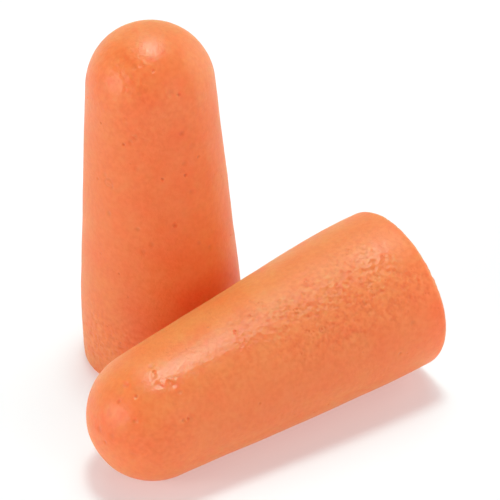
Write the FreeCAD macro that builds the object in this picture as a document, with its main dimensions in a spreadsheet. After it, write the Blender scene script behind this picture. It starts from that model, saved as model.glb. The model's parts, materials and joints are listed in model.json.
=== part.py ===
import FreeCAD, Part
import math
import os
import Sketcher

# A pair of foam ear plugs, each moulded in one piece: a flat round base with a
# small rolled edge, a belly that swells gently above it, a straight tapering
# side and a hemispherical ear end. One plug stands on its base; the other lies
# on its side next to it.
#
# Frame, in millimetres: the origin is the centre of the standing plug's base,
# on the surface that both plugs rest on, and +Z is up. The lying plug is in
# front of the standing one, with its ear end to the left and to the front.

DIMENSIONS = {
    # standing plug
    "standing_length": 25.5,
    "standing_dome_radius": 4.25,
    "standing_taper_angle": 4.1,
    "standing_belly_height": 6.4,
    "standing_base_radius": 5.35,
    "standing_base_edge_radius": 0.55,
    # lying plug: foam plugs from one mould differ by a few tenths
    "lying_length": 24.5,
    "lying_dome_radius": 4.35,
    "lying_taper_angle": 4.2,
    "lying_belly_height": 6.4,
    "lying_base_radius": 5.55,
    "lying_base_edge_radius": 0.6,
    # where the lying plug's base is, and the way its ear end points
    "lying_base_x": 15.95,
    "lying_base_y": -1.8,
    "lying_direction_angle": -145.3,
}
CLEARANCE_RANGE = (0.1, 0.4)
REST_TOLERANCE = 0.01
SHEET_LABEL = "Dimensions"


def make_sheet(doc):
    """Put every driving dimension in its own cell, with its name beside it."""
    sheet = doc.addObject("Spreadsheet::Sheet", SHEET_LABEL)
    for row, (alias, value) in enumerate(DIMENSIONS.items(), start=1):
        sheet.set(f"A{row}", alias)
        sheet.set(f"B{row}", str(value))
        sheet.setAlias(f"B{row}", alias)
    return sheet


def origin_plane(body, role):
    """One of a body's own origin planes, such as XZ_Plane."""
    return next(item for item in body.Origin.OriginFeatures if item.Role == role)


def profile_start(plug):
    """Profile points near their solved places, from the plug's own dimensions."""
    length, dome, taper, belly, base = (
        DIMENSIONS[f"{plug}_{name}"]
        for name in ("length", "dome_radius", "taper_angle", "belly_height", "base_radius")
    )
    slope = math.radians(taper)
    outward = FreeCAD.Vector(math.cos(slope), math.sin(slope), 0)
    dome_centre = FreeCAD.Vector(0, length - dome, 0)
    shoulder = dome_centre + outward * dome
    belly_top = FreeCAD.Vector(shoulder.x + (shoulder.y - belly) * math.tan(slope), belly, 0)
    base_rim = FreeCAD.Vector(base, 0, 0)
    # the belly arc leaves the taper line at belly_top and ends on the base rim
    chord = base_rim - belly_top
    belly_radius = -chord.dot(chord) / (2 * chord.dot(outward))
    belly_centre = belly_top - outward * belly_radius
    return slope, dome_centre, shoulder, belly_top, base_rim, belly_centre, belly_radius


def add_profile(sketch, plug):
    """Half outline: base line, belly arc, taper line, dome arc and the axis."""
    slope, dome_centre, shoulder, belly_top, base_rim, belly_centre, belly_radius = profile_start(plug)
    centre = FreeCAD.Vector(0, 0, 0)
    tip = FreeCAD.Vector(0, DIMENSIONS[f"{plug}_length"], 0)
    normal = FreeCAD.Vector(0, 0, 1)
    rim_direction = base_rim - belly_centre
    rim_angle = math.atan2(rim_direction.y, rim_direction.x)

    base = sketch.addGeometry(Part.LineSegment(centre, base_rim))
    belly_circle = Part.Circle(belly_centre, normal, belly_radius)
    belly = sketch.addGeometry(Part.ArcOfCircle(belly_circle, rim_angle, slope))
    taper = sketch.addGeometry(Part.LineSegment(belly_top, shoulder))
    dome_circle = Part.Circle(dome_centre, normal, DIMENSIONS[f"{plug}_dome_radius"])
    dome = sketch.addGeometry(Part.ArcOfCircle(dome_circle, slope, math.pi / 2))
    axis = sketch.addGeometry(Part.LineSegment(tip, centre))

    start, end, middle = 1, 2, 3
    origin, vertical_axis = -1, -2
    for constraint in (
        ("Coincident", base, start, origin, start),
        ("Horizontal", base),
        ("Coincident", base, end, belly, start),
        ("Tangent", belly, end, taper, start),
        ("Tangent", taper, end, dome, start),
        ("Coincident", dome, end, axis, start),
        ("Coincident", axis, end, origin, start),
        ("PointOnObject", dome, middle, vertical_axis),
        ("Vertical", axis),
    ):
        sketch.addConstraint(Sketcher.Constraint(*constraint))

    taper_direction = math.pi / 2 + slope
    for name, expression, constraint in (
        ("length", "{0}_length", ("DistanceY", origin, start, dome, end, tip.y)),
        ("dome_radius", "{0}_dome_radius", ("Radius", dome, dome_circle.Radius)),
        ("base_radius", "{0}_base_radius", ("DistanceX", base, start, base, end, base_rim.x)),
        ("belly_height", "{0}_belly_height", ("DistanceY", origin, start, taper, start, belly_top.y)),
        ("taper_direction", "{0}_taper_angle + 90", ("Angle", taper, taper_direction)),
    ):
        index = sketch.addConstraint(Sketcher.Constraint(*constraint))
        sketch.renameConstraint(index, name)
        sketch.setExpression(f"Constraints.{name}", f"{SHEET_LABEL}." + expression.format(plug))


def base_rim_edge(shape):
    """Name of the circular edge round the flat base."""
    for number, edge in enumerate(shape.Edges, start=1):
        box = edge.BoundBox
        if isinstance(edge.Curve, Part.Circle) and abs(box.ZMin) + abs(box.ZMax) < REST_TOLERANCE:
            return f"Edge{number}"
    raise ValueError("the base has no rim")


def make_plug(doc, plug):
    """One solid plug on its own axis, its base on XY and its ear end up +Z."""
    body = doc.addObject("PartDesign::Body", f"{plug}_plug")
    body.Label = f"{plug}_plug"

    sketch = body.newObject("Sketcher::SketchObject", f"{plug}_profile")
    sketch.AttachmentSupport = [(origin_plane(body, "XZ_Plane"), "")]
    sketch.MapMode = "FlatFace"
    add_profile(sketch, plug)

    turned = body.newObject("PartDesign::Revolution", f"{plug}_turned")
    turned.Profile = sketch
    turned.ReferenceAxis = (sketch, ["V_Axis"])
    turned.Angle = 360
    doc.recompute()

    rim = body.newObject("PartDesign::Fillet", f"{plug}_base_edge")
    rim.Base = (turned, [base_rim_edge(turned.Shape)])
    rim.setExpression("Radius", f"{SHEET_LABEL}.{plug}_base_edge_radius")
    body.Tip = rim
    return body


def lay_down(body, plug):
    """Rest a plug on its straight side, turned about +Z."""
    length, dome, taper = (
        f"{SHEET_LABEL}.{plug}_{name}" for name in ("length", "dome_radius", "taper_angle")
    )
    # the side line touches the dome, so it passes this far from the base centre
    base_rise = f"{dome} + ({length} - {dome}) * sin({taper} * 1 deg)"
    place = f"vector({SHEET_LABEL}.{plug}_base_x; {SHEET_LABEL}.{plug}_base_y; {base_rise})"
    turn = f"rotation({SHEET_LABEL}.{plug}_direction_angle; 90 + {taper}; 0)"
    body.setExpression("Placement", f"placement({place}; {turn})")


def check(doc, bodies):
    """Stop on a failed object, a bad solid, or a plug that isn't where it should rest."""
    for item in doc.Objects:
        if {"Invalid", "Error"} & set(item.State):
            raise RuntimeError(f"{item.Name} failed: {item.State}")
        if item.isDerivedFrom("Sketcher::SketchObject") and not item.FullyConstrained:
            raise RuntimeError(f"{item.Name} is not fully constrained")
    for body in bodies:
        shape = body.Shape
        if shape.isNull() or not shape.isValid() or len(shape.Solids) != 1:
            raise RuntimeError(f"{body.Label} is not one valid solid")
        lowest = shape.optimalBoundingBox(False).ZMin
        if abs(lowest) > REST_TOLERANCE:
            raise RuntimeError(f"{body.Label} does not rest on the surface: {lowest:.3f}")
    gap = bodies[0].Shape.distToShape(bodies[1].Shape)[0]
    if not CLEARANCE_RANGE[0] <= gap <= CLEARANCE_RANGE[1]:
        raise RuntimeError(f"the plugs are {gap:.3f} mm apart")
    return gap


def main():
    doc = FreeCAD.newDocument("foam_ear_plugs")
    make_sheet(doc)
    doc.recompute()
    bodies = [make_plug(doc, plug) for plug in ("standing", "lying")]
    lay_down(bodies[1], "lying")
    doc.recompute()
    gap = check(doc, bodies)

    os.makedirs("parts", exist_ok=True)
    for body in bodies:
        body.Shape.exportStep(f"parts/{body.Label}.step")
        box = body.Shape.optimalBoundingBox(False)
        print(
            f"{body.Label}: {body.Shape.Volume:.1f} mm3,",
            f"x {box.XMin:.2f} to {box.XMax:.2f}, y {box.YMin:.2f} to {box.YMax:.2f},",
            f"z {box.ZMin:.3f} to {box.ZMax:.2f}",
        )
    print(f"gap between the plugs: {gap:.3f} mm")


main()
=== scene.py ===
import itertools
import json
import math

import bmesh
import bpy
import numpy as np
from mathutils import Matrix, Vector, kdtree


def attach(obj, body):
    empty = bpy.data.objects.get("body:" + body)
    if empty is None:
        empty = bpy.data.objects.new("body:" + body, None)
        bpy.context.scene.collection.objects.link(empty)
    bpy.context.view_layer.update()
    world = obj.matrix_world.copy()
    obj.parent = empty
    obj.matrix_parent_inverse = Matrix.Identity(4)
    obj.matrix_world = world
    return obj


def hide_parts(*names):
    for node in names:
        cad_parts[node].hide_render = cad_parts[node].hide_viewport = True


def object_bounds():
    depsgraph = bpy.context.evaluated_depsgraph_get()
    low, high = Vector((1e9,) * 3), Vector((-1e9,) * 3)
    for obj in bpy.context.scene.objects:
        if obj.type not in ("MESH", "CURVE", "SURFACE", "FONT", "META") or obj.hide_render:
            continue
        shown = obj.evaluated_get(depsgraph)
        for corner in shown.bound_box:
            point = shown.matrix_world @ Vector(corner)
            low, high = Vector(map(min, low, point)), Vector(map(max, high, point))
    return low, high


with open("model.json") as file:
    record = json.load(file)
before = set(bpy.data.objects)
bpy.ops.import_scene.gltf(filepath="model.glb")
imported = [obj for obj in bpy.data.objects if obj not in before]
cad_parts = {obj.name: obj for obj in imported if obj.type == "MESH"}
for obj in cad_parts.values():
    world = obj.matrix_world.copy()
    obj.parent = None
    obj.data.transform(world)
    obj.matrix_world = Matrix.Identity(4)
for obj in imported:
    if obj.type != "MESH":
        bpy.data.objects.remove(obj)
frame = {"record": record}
cad_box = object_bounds()

# Lengths are in millimetres and angles in degrees until a piece is placed.
MM = 0.001
FINEST = 0.15  # largest quad on a plug's skin
CAP_STEPS = 62  # quads across a round cap; four times as many go round a plug

# Outlines: the CAD's own driving dimensions.
PLUGS = {
    "standing": dict(length=25.5, dome=4.25, taper=4.1, belly=6.4, base=5.35, edge=0.55),
    "lying": dict(length=24.5, dome=4.35, taper=4.2, belly=6.4, base=5.55, edge=0.6),
}
# The direction that angle 0 faces on each plug; seen from there with the ear end up,
# angles grow to the right.
ZERO_FACES = {"standing": (0, -1, 0), "lying": (0, 0, 1)}

# Where the larger burst bubbles gather, at random inside each area, as
# (height up the plug, angle, height reach, angle reach, how many).
PIT_AREAS = {
    "standing": [(24, 10, 1.5, 30, 5), (15, 0, 5, 45, 22)],
    "lying": [(22, -50, 2.5, 45, 22), (4, -60, 3, 45, 6)],
}
RANDOM_PITS = {"standing": 90, "lying": 120}  # small ones, all over
# Shallow round grooves, as (height, angle, radius, depth).
RINGS = {"standing": [(16, -40, 0.30, 0.045)], "lying": [(9, -50, 0.22, 0.03)]}
# Short folds in the skin, as (height, angle) at each end, then half width and depth.
CREASES = {"standing": [], "lying": [((20, -25), (19, -30), 0.07, 0.015)]}
# Broad patches of skin, as (height, angle, height reach, angle reach, strength).
PEEL = {  # pocked like orange peel; the last row is the cut base
    "standing": [
        (23, -20, 3, 55, 0.6),
        (3, -45, 3, 40, 0.55),
        (10, 150, 9, 60, 0.35),
        (0, 0, 0.15, 400, 0.4),
    ],
    "lying": [
        (6, -40, 6, 35, 1.05),
        (14, -30, 5, 25, 0.45),
        (22, -50, 3, 45, 0.4),
        (10, 120, 9, 50, 0.35),
        (0, 0, 0.15, 400, 0.4),
    ],
}
SHINE = {  # smooth and glossy, as round the ear end
    "standing": [(24, -10, 3, 95, 1.0), (21, -40, 3, 60, 0.5)],
    "lying": [(23, -25, 4, 70, 1.0), (17, -30, 5, 20, 0.75), (3, -20, 1.5, 15, 0.9)],
}
SHINE_SMOOTHS = 0.4  # share of the peel that full shine takes away
DROOP = {"standing": 0.0, "lying": 0.05}  # how far the ear end sags towards angle 180
UNEVEN_RIM = 0.06  # how far the base rim strays from round
DROOP_LENGTH = 5.0  # the stretch below the tip that sags
DROOP_FADE = 3.0  # over how much of it the sag grows to its full size
RIM_REACH = 1.5  # how far up from the base the rim's unevenness fades
# Layers of smooth noise, as (height, size): slow waves, and the peel's own grain.
WAVES = ((0.05, 6.5), (0.018, 2.4))
PEEL_GRAINS = ((0.010, 0.8), (0.032, 0.38))
DIMPLES = 9000  # centres of pocks on the side; a tenth as many more on the base
DIMPLE_RADII = (0.11, 0.22)
DIMPLE_DEPTH = 0.08
DEEP_PIT = 0.13  # a pit this deep gets the full painted shade colour
PEEL_SPLIT = 0.52  # skin pocked more than this has its faces split
MARK_SPLITS = (0.36, 0.18)  # faces this close to a pit, ring or crease are split, once each
SEEDS = {"standing": 11, "lying": 23}

# Colours of the foam, as (noise level, colour) stops, and one darker colour painted as shade in
# pits, pocks, grooves and creases.
BLOTCH_SIZE = 2.2
BLOTCHES = [
    (0.30, (0.79, 0.202, 0.051, 1)),
    (0.50, (0.79, 0.226, 0.059, 1)),
    (0.72, (0.79, 0.250, 0.067, 1)),
]
SPECK_SIZE = 0.33
SPECKS = [  # these multiply the blotches
    (0.32, (0.93, 0.83, 0.78, 1)),
    (0.50, (1, 1, 1, 1)),
    (0.68, (1.04, 1.17, 1.23, 1)),
]
# painted shade: the darker colour given to pits, pocks, grooves and creases, fuller where they are
# deeper
PIT_SHADE_COLOUR = (0.52, 0.15, 0.040, 1)
DULL, GLOSSY = 0.50, 0.31  # roughness where the skin shines least and most
GLOSS_SIZE = 0.9
BUMP_SIZE = 0.2
BUMP_HEIGHT = 0.035
SCATTER_SCALE = 16.0
SCATTER_RADII = (1.0, 0.0025, 0.002)  # shares of the scale for red, green and blue

# Colours of the lamps; the floor and the world are slightly warm.
DAYLIGHT = (0.62, 1.0, 1.0)
COOL = (0.85, 1.0, 1.0)
WARM = (1.0, 0.9, 0.9)
NEUTRAL = (1.0, 1.0, 1.0)

# Camera: a long lens, looking along +Y and down. Its distance and aim are in millimetres.
ELEVATION = 34.7
ROLL = -2.1
DISTANCE = 275.3
AIM = Vector((-0.62, 2.61, -2.52))  # from the middle of the CAD box
LENS = 300
SENSOR = 36


# ---------------------------------------------------------------- plain shape


def arc(centre, radius, start, end):
    """Points from start to end, in radians, at most FINEST apart, without the last."""
    steps = math.ceil(radius * abs(end - start) / FINEST)
    angles = np.linspace(start, end, steps + 1)[:-1]
    return centre + radius * np.stack([np.cos(angles), np.sin(angles)], 1)


def outline(plug):
    """The side as (radius, height) rows: rolled edge, belly arc and straight taper."""
    slope = math.radians(plug["taper"])
    outward = np.array([math.cos(slope), math.sin(slope)])
    shoulder = np.array([0, plug["length"] - plug["dome"]]) + outward * plug["dome"]
    fall = shoulder[1] - plug["belly"]
    belly_top = np.array([shoulder[0] + fall * math.tan(slope), plug["belly"]])
    chord = np.array([plug["base"], 0]) - belly_top
    belly_radius = -chord.dot(chord) / (2 * chord.dot(outward))
    belly_centre = belly_top - outward * belly_radius
    # the edge arc touches the flat base, and the belly arc from inside
    rise = plug["edge"] - belly_centre[1]
    run = math.sqrt((belly_radius - plug["edge"]) ** 2 - rise**2)
    edge_centre = np.array([belly_centre[0] + run, plug["edge"]])
    meeting = math.atan2(rise, run)
    steps = math.ceil(fall / FINEST)
    return np.concatenate(
        [
            arc(edge_centre, plug["edge"], -math.pi / 2, meeting),
            arc(belly_centre, belly_radius, meeting, slope),
            belly_top + (shoulder - belly_top) * np.linspace(0, 1, steps + 1)[:, None],
        ]
    )


def disc_grid():
    """A square grid bent into a disc: each point's share of the radius and its angle."""
    line = np.linspace(-1, 1, CAP_STEPS + 1)
    across, along = np.meshgrid(line, line, indexing="ij")
    share = np.maximum(abs(across), abs(along))
    wide = abs(across) >= abs(along)
    long_way = np.where(share == 0, 1, np.where(wide, across, along))
    short_way = np.where(wide, along, across)
    turn = math.pi / 4 * short_way / long_way
    sideways = np.where(across < 0, math.pi, 0) + turn
    lengthways = np.where(along < 0, -math.pi / 2, math.pi / 2) - turn
    return share, np.where(wide, sideways, lengthways)


def base_points(rows, share):
    return rows[0][0] * share, np.zeros_like(share)


def dome_points(plug, share):
    angle = share * (math.pi / 2 - math.radians(plug["taper"]))
    return plug["dome"] * np.sin(angle), plug["length"] - plug["dome"] * (1 - np.cos(angle))


def skin_mesh(name, plug):
    """The plain plug on its own axis, as quads of about one size, with no pole."""
    rows = outline(plug)
    ring = 4 * CAP_STEPS
    turns = np.arange(ring) * 2 * math.pi / ring
    side = (np.repeat(rows[:, 0], ring), np.repeat(rows[:, 1], ring), np.tile(turns, len(rows)))
    points = [np.stack(side, 1)]
    quads = [
        (low + k, low + (k + 1) % ring, low + ring + (k + 1) % ring, low + ring + k)
        for low in range(0, (len(rows) - 1) * ring, ring)
        for k in range(ring)
    ]
    count = len(rows) * ring
    share, turn = disc_grid()
    rim = share == 1
    inner = share[~rim]
    caps = (
        (0, base_points(rows, inner), True),
        (count - ring, dome_points(plug, inner), False),
    )
    for first, (radius, height), flip in caps:
        index = np.empty(share.shape, int)
        index[rim] = first + np.round(turn[rim] / (2 * math.pi) * ring).astype(int) % ring
        index[~rim] = count + np.arange((~rim).sum())
        points.append(np.stack([radius, height, turn[~rim]], 1))
        count += len(radius)
        for i, j in itertools.product(range(CAP_STEPS), repeat=2):
            quad = (index[i, j], index[i + 1, j], index[i + 1, j + 1], index[i, j + 1])
            quads.append(quad[::-1] if flip else quad)
    radius, height, turn = np.concatenate(points).T
    mesh = bpy.data.meshes.new(name)
    places = np.stack([radius * np.cos(turn), radius * np.sin(turn), height], 1)
    mesh.from_pydata(places.tolist(), [], quads)
    return mesh


# --------------------------------------------------------------------- relief


def grain(points, size, seed):
    """Smooth noise from about -1 to 1, with bumps about size apart."""
    table = 1024
    rng = np.random.default_rng(seed)
    shuffle = rng.permutation(table)
    slopes = rng.normal(size=(table, 3))
    slopes /= np.linalg.norm(slopes, axis=1)[:, None]
    cell = np.floor(points / size).astype(int)
    inside = points / size - cell
    fade = inside**3 * (inside * (inside * 6 - 15) + 10)
    total = np.zeros(len(points))
    for corner in itertools.product((0, 1), repeat=3):
        x, y, z = (cell + corner).T
        index = shuffle[(shuffle[(shuffle[x % table] + y) % table] + z) % table]
        weight = np.where(corner, fade, 1 - fade).prod(1)
        total += weight * (slopes[index] * (inside - corner)).sum(1)
    return total * 1.7


def grain_layers(points, layers, seed):
    return sum(height * grain(points, size, seed + n) for n, (height, size) in enumerate(layers))


def on_skin(plug, rows, height, angle):
    """The point of the plain plug at a height and an angle, or an array of such points."""
    above = np.clip(height - (plug["length"] - plug["dome"]), 0, plug["dome"])
    side = np.interp(height, rows[:, 1], rows[:, 0])
    radius = np.where(height > rows[-1][1], np.sqrt(plug["dome"] ** 2 - above**2), side)
    turn = np.radians(angle)
    return np.stack([radius * np.cos(turn), radius * np.sin(turn), height + 0 * turn], -1)


def scattered_pits(kind, plug):
    """Small pits at random, closer together towards the base, where the foam is coarser."""
    rng = np.random.default_rng(SEEDS[kind])
    pits = []
    for _ in range(RANDOM_PITS[kind]):
        height = plug["edge"] + (plug["length"] - 2 * plug["edge"]) * rng.random() ** 1.6
        radius = 0.05 + 0.07 * rng.random() ** 2
        pits.append((height, rng.uniform(-180, 180), radius, radius * rng.uniform(0.3, 0.6)))
    return pits


def gathered_pits(kind):
    """Larger pits at random in their areas; the wider one is, the shallower."""
    rng = np.random.default_rng(SEEDS[kind] + 5)
    pits = []
    for height, angle, up_reach, turn_reach, count in PIT_AREAS[kind]:
        for _ in range(count):
            up = height + up_reach * rng.uniform(-1, 1)
            turn = angle + turn_reach * rng.uniform(-1, 1)
            radius = rng.uniform(0.12, 0.32)
            pits.append((up, turn, radius, 0.013 / radius * rng.uniform(0.7, 1.2)))
    return pits


def nearest(centres, points):
    """For each point, the number of the nearest centre and how far off it is."""
    tree = kdtree.KDTree(len(centres))
    for number, centre in enumerate(centres):
        tree.insert(centre, number)
    tree.balance()
    found = [tree.find(point)[1:] for point in points]
    return np.array([number for number, _ in found]), np.array([away for _, away in found])


def refine(mesh, chosen):
    """Split the faces that chosen picks by their centres, so that small relief is real geometry."""
    bm = bmesh.new()
    bm.from_mesh(mesh)
    picks = chosen(np.array([face.calc_center_median() for face in bm.faces]))
    edges = {edge for face, pick in zip(bm.faces, picks) if pick for edge in face.edges}
    bmesh.ops.subdivide_edges(bm, edges=list(edges), cuts=1, use_grid_fill=True)
    bmesh.ops.triangulate(bm, faces=[face for face in bm.faces if len(face.verts) > 4])
    bm.to_mesh(mesh)
    bm.free()


def patches(zones, points):
    """The zones' strength at each point, fading away from their middles."""
    height = points[:, 2]
    angle = np.degrees(np.arctan2(points[:, 1], points[:, 0]))
    total = np.zeros(len(points))
    for up, turn, up_reach, turn_reach, strength in zones:
        sideways = (angle - turn + 180) % 360 - 180
        away = ((height - up) / up_reach) ** 2 + (sideways / turn_reach) ** 2
        total += strength * np.exp(-(away**1.5))
    return total


def shine_strength(kind, points):
    return np.clip(patches(SHINE[kind], points), 0, 1)


def peel_strength(kind, points):
    """How pocked the skin is, from 0 to about 1: unevenly, and less where it shines."""
    uneven = grain(points, 2.6, SEEDS[kind] + 2)
    smoothed = 1 - SHINE_SMOOTHS * shine_strength(kind, points)
    pocked = 0.14 + 0.12 * uneven + patches(PEEL[kind], points) * (1 + 0.5 * uneven) * smoothed
    return np.clip(pocked, 0.03, 1.1)


def outline_drift(kind, plug, points):
    """How far the moulded outline strays: a sagging ear end and an uneven base rim."""
    height = points[:, 2]
    off_axis = np.hypot(points[:, 0], points[:, 1])
    upward = points[:, 0] / np.maximum(off_axis, 0.01)
    ear_end = np.clip((height - plug["length"] + DROOP_LENGTH) / DROOP_FADE, 0, 1)
    rim = np.exp(-((height / RIM_REACH) ** 2))
    sag = -DROOP[kind] * upward * ear_end
    wobble = UNEVEN_RIM * grain(points, 5.0, SEEDS[kind] + 6) * rim
    return np.clip(off_axis / 2.5, 0, 1) ** 2 * (sag + wobble)  # nothing at the axis


def pit_relief(points, centre, radius, depth):
    """A bowl with a slightly raised lip; also how far inside the bowl each point is."""
    away = np.linalg.norm(points - centre, axis=1) / radius
    bowl = np.clip(1 - away**2, 0, 1) ** 1.5
    lip = np.exp(-(((away - 1.35) / 0.3) ** 2))
    return depth * (0.1 * lip - bowl), bowl


def ring_relief(points, centre, radius, depth):
    """A round groove; also how far inside the groove each point is."""
    away = np.linalg.norm(points - centre, axis=1)
    groove = np.exp(-(((away - radius) / 0.08) ** 2))
    return -depth * groove, groove


def crease_ends(plug, rows, start, end):
    return [on_skin(plug, rows, *place) for place in (start, end)]


def crease_relief(points, start, end, half_width, depth):
    """A groove along a line, shallower at its ends; also how far inside it each point is."""
    run = end - start
    share = np.clip(((points - start) @ run) / run.dot(run), 0, 1)
    away = np.linalg.norm(points - start - share[:, None] * run, axis=1) / half_width
    taper = 1 - (2 * share - 1) ** 2
    fold = (0.4 + 0.6 * taper) * np.exp(-(away**2))
    return -depth * fold, fold


def dimple_centres(kind, plug, rows):
    """Places at random over the whole skin, the base included."""
    rng = np.random.default_rng(SEEDS[kind] + 9)
    heights = rng.uniform(0, plug["length"], DIMPLES)
    side = on_skin(plug, rows, heights, rng.uniform(-180, 180, DIMPLES))
    below = plug["base"] * np.sqrt(rng.random(DIMPLES // 10))
    turn = rng.uniform(0, 2 * math.pi, len(below))
    base = np.stack([below * np.cos(turn), below * np.sin(turn), 0 * turn], -1)
    return np.concatenate([side, base])


def dimple_relief(kind, plug, rows, points):
    """How deep in a pock each point is, from 0 to 1; pocks are deeper where the skin is pocked."""
    centres = dimple_centres(kind, plug, rows)
    rng = np.random.default_rng(SEEDS[kind] + 10)
    radii = rng.uniform(*DIMPLE_RADII, len(centres))
    depths = rng.uniform(0.4, 1.0, len(centres))
    depths *= np.clip(1.2 * peel_strength(kind, centres) - 0.1, 0, 1)
    number, away = nearest(centres, points)
    return depths[number] * np.clip(1 - (away / radii[number]) ** 2, 0, 1) ** 2


def relief(kind, plug, points):
    """How far each point of the skin stands out, how much painted shade its pit, pock, groove or
    crease gets, and its peel.
    """
    seed = SEEDS[kind]
    rows = outline(plug)
    out = grain_layers(points, WAVES, seed)
    out += outline_drift(kind, plug, points)
    peel = peel_strength(kind, points)
    out += peel * grain_layers(points, PEEL_GRAINS, seed + 3)
    dimple = dimple_relief(kind, plug, rows, points)
    out -= DIMPLE_DEPTH * dimple
    # painted shade: pocks, pits, grooves and creases get a darker colour, more of it the deeper they
    # are
    pit_shade = 0.22 * dimple
    for up, turn, radius, depth in gathered_pits(kind) + scattered_pits(kind, plug):
        step, bowl = pit_relief(points, on_skin(plug, rows, up, turn), radius, depth)
        out += step
        pit_shade = np.maximum(pit_shade, bowl * min(1, depth / DEEP_PIT) ** 1.2)
    for up, turn, radius, depth in RINGS[kind]:
        step, groove = ring_relief(points, on_skin(plug, rows, up, turn), radius, depth)
        out += step
        pit_shade = np.maximum(pit_shade, 0.3 * groove)
    for start, end, half_width, depth in CREASES[kind]:
        ends = crease_ends(plug, rows, start, end)
        step, fold = crease_relief(points, *ends, half_width, depth)
        out += step
        # painted shade along the crease
        pit_shade = np.maximum(pit_shade, 0.45 * fold)
    return out, pit_shade, peel


# ---------------------------------------------------------------------- build


def standing_place(plug, tip, axis, front):
    """Matrix that takes a plug from its own axes, in millimetres, to the frame."""
    up = Vector(axis)
    side = up.cross(Vector(front)).normalized()
    turn = Matrix((side.cross(up), side, up)).transposed().to_4x4()
    base = Vector(tip) - up * plug["length"] * MM
    return Matrix.Translation(base) @ turn @ Matrix.Scale(MM, 4)


def vertex_array(mesh, collection, name):
    """A row of three numbers for each of the mesh's vertices."""
    values = np.empty(len(mesh.vertices) * 3)
    collection.foreach_get(name, values)
    return values.reshape(-1, 3)


def marks(kind, plug, rows):
    """The middles of the pits, rings and creases, where the skin needs its smallest faces."""
    rounds = gathered_pits(kind) + scattered_pits(kind, plug) + RINGS[kind]
    places = [on_skin(plug, rows, up, turn) for up, turn, _, _ in rounds]
    for start, end, _, _ in CREASES[kind]:
        places += list(np.linspace(*crease_ends(plug, rows, start, end), 12))
    return places


def make_plug(kind, material):
    """One foam plug: plain skin, split where the relief is fine, then moved along its normals."""
    plug = PLUGS[kind]
    mesh = skin_mesh(f"{kind}_foam", plug)
    refine(mesh, lambda centres: peel_strength(kind, centres) > PEEL_SPLIT)
    places = marks(kind, plug, outline(plug))
    for reach in MARK_SPLITS:
        refine(mesh, lambda centres: nearest(places, centres)[1] < reach)
    points = vertex_array(mesh, mesh.vertices, "co")
    normals = vertex_array(mesh, mesh.vertex_normals, "vector")
    shine = shine_strength(kind, points)
    out, pit_shade, peel = relief(kind, plug, points)
    points += normals * out[:, None]

    end = next(mount for mount in frame["record"]["mounts"] if mount["name"] == f"{kind}_ear_end")
    place = np.array(standing_place(plug, end["pos_m"], end["axis"], ZERO_FACES[kind]))
    points = points @ place[:3, :3].T + place[:3, 3]
    points[:, 2] = np.maximum(points[:, 2], 0)  # flat where it rests
    mesh.vertices.foreach_set("co", points.ravel())
    # painted shade for pits, pocks, grooves and creases, stored on each point
    mesh.attributes.new("pit_shade", "FLOAT", "POINT").data.foreach_set("value", pit_shade)
    mesh.attributes.new("peel", "FLOAT", "POINT").data.foreach_set("value", peel)
    mesh.attributes.new("shine", "FLOAT", "POINT").data.foreach_set("value", shine)
    mesh.polygons.foreach_set("use_smooth", [True] * len(mesh.polygons))
    mesh.materials.append(material)
    mesh.update()

    piece = bpy.data.objects.new(f"{kind}_foam", mesh)
    bpy.context.scene.collection.objects.link(piece)
    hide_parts(f"{kind}_plug")
    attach(piece, kind)


# ------------------------------------------------------------------- material


def noise_node(tree, coords, size, detail=2.0, roughness=0.5):
    node = tree.nodes.new("ShaderNodeTexNoise")
    node.inputs["Scale"].default_value = 1 / (size * MM)
    node.inputs["Detail"].default_value = detail
    node.inputs["Roughness"].default_value = roughness
    tree.links.new(coords, node.inputs["Vector"])
    return node.outputs["Fac"]


def ramp(tree, value, stops):
    node = tree.nodes.new("ShaderNodeValToRGB")
    ramp_stops = node.color_ramp.elements
    ramp_stops[0].position, ramp_stops[0].color = stops[0]
    ramp_stops[1].position, ramp_stops[1].color = stops[-1]
    for position, colour in stops[1:-1]:
        ramp_stops.new(position).color = colour
    tree.links.new(value, node.inputs["Fac"])
    return node.outputs["Color"]


def mix(tree, factor, first, second, blend="MIX"):
    node = tree.nodes.new("ShaderNodeMix")
    node.data_type = "RGBA"
    node.blend_type = blend
    for name, value in (("Factor", factor), ("A", first), ("B", second)):
        kinds = ("VALUE",) if name == "Factor" else ("RGBA",)
        socket = next(s for s in node.inputs if s.name == name and s.type in kinds)
        if isinstance(value, bpy.types.NodeSocket):
            tree.links.new(value, socket)
        else:
            socket.default_value = value
    return next(s for s in node.outputs if s.type == "RGBA")


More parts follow.
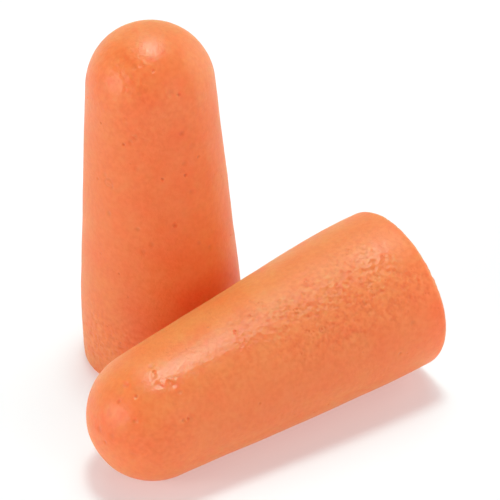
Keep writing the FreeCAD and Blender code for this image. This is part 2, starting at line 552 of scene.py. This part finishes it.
def foam_material():
    """Orange foam: blotched and specked colour, painted shade in pits, pocks, grooves and creases,
    strong red scattering.
    """
    mat = bpy.data.materials.new("foam")
    mat.use_nodes = True
    tree = mat.node_tree
    shader = tree.nodes["Principled BSDF"]
    coords = tree.nodes.new("ShaderNodeTexCoord").outputs["Object"]
    # painted shade in pits, pocks, grooves and creases, read from the mesh
    pit_shade = tree.nodes.new("ShaderNodeAttribute")
    pit_shade.attribute_name = "pit_shade"

    blotches = ramp(tree, noise_node(tree, coords, BLOTCH_SIZE, 3.0), BLOTCHES)
    specks = ramp(tree, noise_node(tree, coords, SPECK_SIZE, 1.0), SPECKS)
    peel = tree.nodes.new("ShaderNodeAttribute")
    peel.attribute_name = "peel"
    speckled = tree.nodes.new("ShaderNodeMapRange")
    speckled.inputs["To Min"].default_value = 0.3
    tree.links.new(peel.outputs["Fac"], speckled.inputs["Value"])
    skin = mix(tree, speckled.outputs["Result"], blotches, specks, "MULTIPLY")
    # painted shade: the darker colour is mixed in where pits, pocks, grooves and creases are deep
    colour = mix(tree, pit_shade.outputs["Fac"], skin, PIT_SHADE_COLOUR)
    tree.links.new(colour, shader.inputs["Base Color"])

    # dull skin, glossier round the ear end, uneven all over
    shine = tree.nodes.new("ShaderNodeAttribute")
    shine.attribute_name = "shine"
    uneven = tree.nodes.new("ShaderNodeMath")
    uneven.operation = "MULTIPLY_ADD"
    uneven.inputs[1].default_value = -0.35
    tree.links.new(noise_node(tree, coords, GLOSS_SIZE, 3.0), uneven.inputs[0])
    tree.links.new(shine.outputs["Fac"], uneven.inputs[2])
    rough = tree.nodes.new("ShaderNodeMapRange")
    rough.inputs["From Min"].default_value = -0.25
    rough.inputs["From Max"].default_value = 0.9
    rough.inputs["To Min"].default_value = DULL
    rough.inputs["To Max"].default_value = GLOSSY
    tree.links.new(uneven.outputs["Value"], rough.inputs["Value"])
    tree.links.new(rough.outputs["Result"], shader.inputs["Roughness"])

    bump = tree.nodes.new("ShaderNodeBump")
    bump.inputs["Distance"].default_value = BUMP_HEIGHT * MM
    tree.links.new(noise_node(tree, coords, BUMP_SIZE, 3.0, 0.6), bump.inputs["Height"])
    tree.links.new(bump.outputs["Normal"], shader.inputs["Normal"])

    shader.inputs["IOR"].default_value = 1.45
    shader.inputs["Subsurface Weight"].default_value = 1.0
    shader.inputs["Subsurface Radius"].default_value = SCATTER_RADII
    shader.inputs["Subsurface Scale"].default_value = SCATTER_SCALE * MM
    return mat


# ---------------------------------------------------------------------- stage


def direction(azimuth, elevation):
    """Unit vector; azimuth 0 is the camera's side, and it grows to the right."""
    a, e = math.radians(azimuth), math.radians(elevation)
    return Vector((math.sin(a) * math.cos(e), -math.cos(a) * math.cos(e), math.sin(e)))


def make_floor():
    reach = 1.5  # in metres
    mesh = bpy.data.meshes.new("floor")
    corners = [(-reach, -reach, 0), (reach, -reach, 0), (reach, reach, 0), (-reach, reach, 0)]
    mesh.from_pydata(corners, [], [(0, 1, 2, 3)])
    floor = bpy.data.objects.new("floor", mesh)
    floor.location.z = -0.01 * MM  # just under the plugs
    bpy.context.scene.collection.objects.link(floor)
    paper = bpy.data.materials.new("lit_paper")
    paper.use_nodes = True
    shader = paper.node_tree.nodes["Principled BSDF"]
    shader.inputs["Base Color"].default_value = (0.66, 0.60, 0.60, 1)
    shader.inputs["Specular IOR Level"].default_value = 0
    shader.inputs["Emission Color"].default_value = (1.0, 0.86, 0.86, 1)
    shader.inputs["Emission Strength"].default_value = 0.36
    mesh.materials.append(paper)


def make_world():
    """White backdrop all round, fading to a dim ceiling."""
    world = bpy.data.worlds.new("studio")
    world.use_nodes = True
    tree = world.node_tree
    shader = tree.nodes["Background"]
    shader.inputs["Color"].default_value = (1.0, 0.94, 0.94, 1)
    split = tree.nodes.new("ShaderNodeSeparateXYZ")
    tree.links.new(tree.nodes.new("ShaderNodeTexCoord").outputs["Generated"], split.inputs["Vector"])
    fade = tree.nodes.new("ShaderNodeMapRange")
    fade.interpolation_type = "SMOOTHSTEP"
    fade.inputs["From Min"].default_value = 0.1
    fade.inputs["From Max"].default_value = 0.8
    fade.inputs["To Min"].default_value = 0.66
    fade.inputs["To Max"].default_value = 0.2
    tree.links.new(split.outputs["Z"], fade.inputs["Value"])
    tree.links.new(fade.outputs["Result"], shader.inputs["Strength"])
    bpy.context.scene.world = world


def softbox(aim, name, azimuth, elevation, size, power, colour=NEUTRAL, distance=0.6):
    """A round lamp that faces the aim, sized in metres and powered in watts."""
    light = bpy.data.lights.new(name, "AREA")
    light.shape = "DISK"
    light.size = size
    light.energy = power
    light.color = colour
    lamp = bpy.data.objects.new(name, light)
    towards = direction(azimuth, elevation)
    turn = towards.to_track_quat("Z", "Y").to_matrix().to_4x4()
    lamp.matrix_world = Matrix.Translation(aim + towards * distance) @ turn
    bpy.context.scene.collection.objects.link(lamp)


def make_camera(aim):
    data = bpy.data.cameras.new("camera")
    data.lens = LENS
    data.sensor_width = SENSOR
    data.clip_start = 0.01
    camera = bpy.data.objects.new("camera", data)
    camera.matrix_world = (
        Matrix.Translation(aim + direction(0, ELEVATION) * DISTANCE * MM)
        @ Matrix.Rotation(math.radians(90 - ELEVATION), 4, "X")
        @ Matrix.Rotation(math.radians(ROLL), 4, "Z")
    )
    bpy.context.scene.collection.objects.link(camera)
    bpy.context.scene.camera = camera


foam = foam_material()
for kind in PLUGS:
    make_plug(kind, foam)

aim = (Vector(cad_box[0]) + Vector(cad_box[1])) / 2 + AIM * MM
make_camera(aim)
make_floor()
make_world()
softbox(aim, "key", 140, 77, 0.26, 0.60, DAYLIGHT)
softbox(aim, "key_core", 155, 84, 0.13, 1.5, DAYLIGHT)
softbox(aim, "overhead", 180, 64, 0.5, 1.15, DAYLIGHT)
softbox(aim, "back", 115, 18, 0.6, 0.95, COOL)
softbox(aim, "front", 0, 50, 0.5, 0.18, WARM)
softbox(aim, "left", -75, 15, 0.3, 0.65)
softbox(aim, "left_glint", -63, 22, 0.12, 0.46)
softbox(aim, "right_glint", 45, 24, 0.14, 0.33)
bpy.context.scene.view_settings.view_transform = "Standard"
